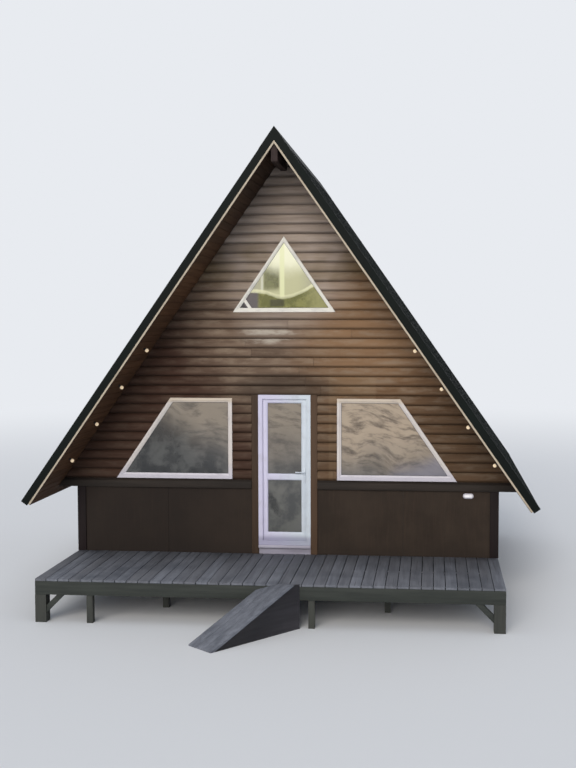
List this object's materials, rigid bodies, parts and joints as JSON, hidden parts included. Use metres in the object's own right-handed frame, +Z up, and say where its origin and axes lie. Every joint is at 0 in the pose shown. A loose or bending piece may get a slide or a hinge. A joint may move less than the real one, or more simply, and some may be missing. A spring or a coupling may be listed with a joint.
{
  "type": "a-frame cabin",
  "caption": "Timber a-frame cabin with steep metal roof planes down to a low walled box, rounded-board front wall, white windows, a glazed door that opens inwards, front deck and side ramp.",
  "frame": {"origin": "on the ground, under the middle of the whole cabin with its deck and ramp", "axes": "+Z up, +Y from the deck towards the back wall, +X to the right seen from the deck"},
  "size_m": [7.0276, 7.7432, 6.4549],
  "materials": {
    "frame_timber": "sawn softwood",
    "beam_timber": "red brown stain",
    "floor_boards": "planed boards",
    "wall_stain": "brown stain",
    "trim_stain": "dark red brown stain",
    "sill_grey": "pale grey paint",
    "white_frame": "white profile",
    "hinge_steel": "satin",
    "window_glass": "clear",
    "lining_boards": "brown stain",
    "roof_boarding": "sawn boards",
    "roof_metal": "dark green coated sheet",
    "pale_paint": "pale paint",
    "deck_timber": "dark olive brown",
    "deck_grey": "weathered grey",
    "ramp_timber": "dark stain",
    "lamp_white": "opal white"
  },
  "bodies": {
    "root": {"foundation_posts": "frame_timber", "bearers": "frame_timber", "floor_joists": "frame_timber", "ground_floor": "floor_boards", "front_wall_left": "wall_stain", "front_wall_right": "wall_stain", "front_wall_over_door": "wall_stain", "back_wall": "wall_stain", "low_end_walls": "wall_stain", "side_walls": "wall_stain", "band_boards": "wall_stain", "wall_trim_boards": "trim_stain", "door_sill": "sill_grey", "door_frame": "white_frame", "frame_hinges": "hinge_steel", "loft_joists": "frame_timber", "loft_floor": "floor_boards", "ridge_beam": "beam_timber", "rafters": "frame_timber", "roof_lining_left": "lining_boards", "roof_lining_right": "lining_boards", "roof_boarding_left": "roof_boarding", "roof_boarding_right": "roof_boarding", "roof_sheet_left": "roof_metal", "roof_sheet_right": "roof_metal", "ridge_cap": "roof_metal", "rake_board_left": "pale_paint", "rake_board_right": "pale_paint", "rake_flashing_left": "roof_metal", "rake_flashing_right": "roof_metal", "eave_boards": "trim_stain", "eave_soffits": "lining_boards", "front_window_frames": "white_frame", "attic_window_frame": "white_frame", "front_window_glass": "window_glass", "back_window_frames": "white_frame", "back_window_glass": "window_glass", "deck_beams": "deck_timber", "deck_rim_joists": "deck_timber", "deck_braces": "deck_timber", "deck_boards": "deck_grey", "ramp_planks": "deck_grey", "ramp_frame": "ramp_timber", "wall_lamp": "lamp_white", "rake_bulbs": "lamp_white"},
    "door": {"door_leaf": "white_frame", "door_glass": "window_glass", "door_hinges": "hinge_steel", "door_handle": "white_frame"}
  },
  "joints": [
    {"name": "door_hinge", "type": "hinge", "parent": "root", "child": "door", "pos_m": [-0.32, -0.96994, 1.775], "axis": [0, 0, 1], "range_deg": [0, 90]}
  ]
}
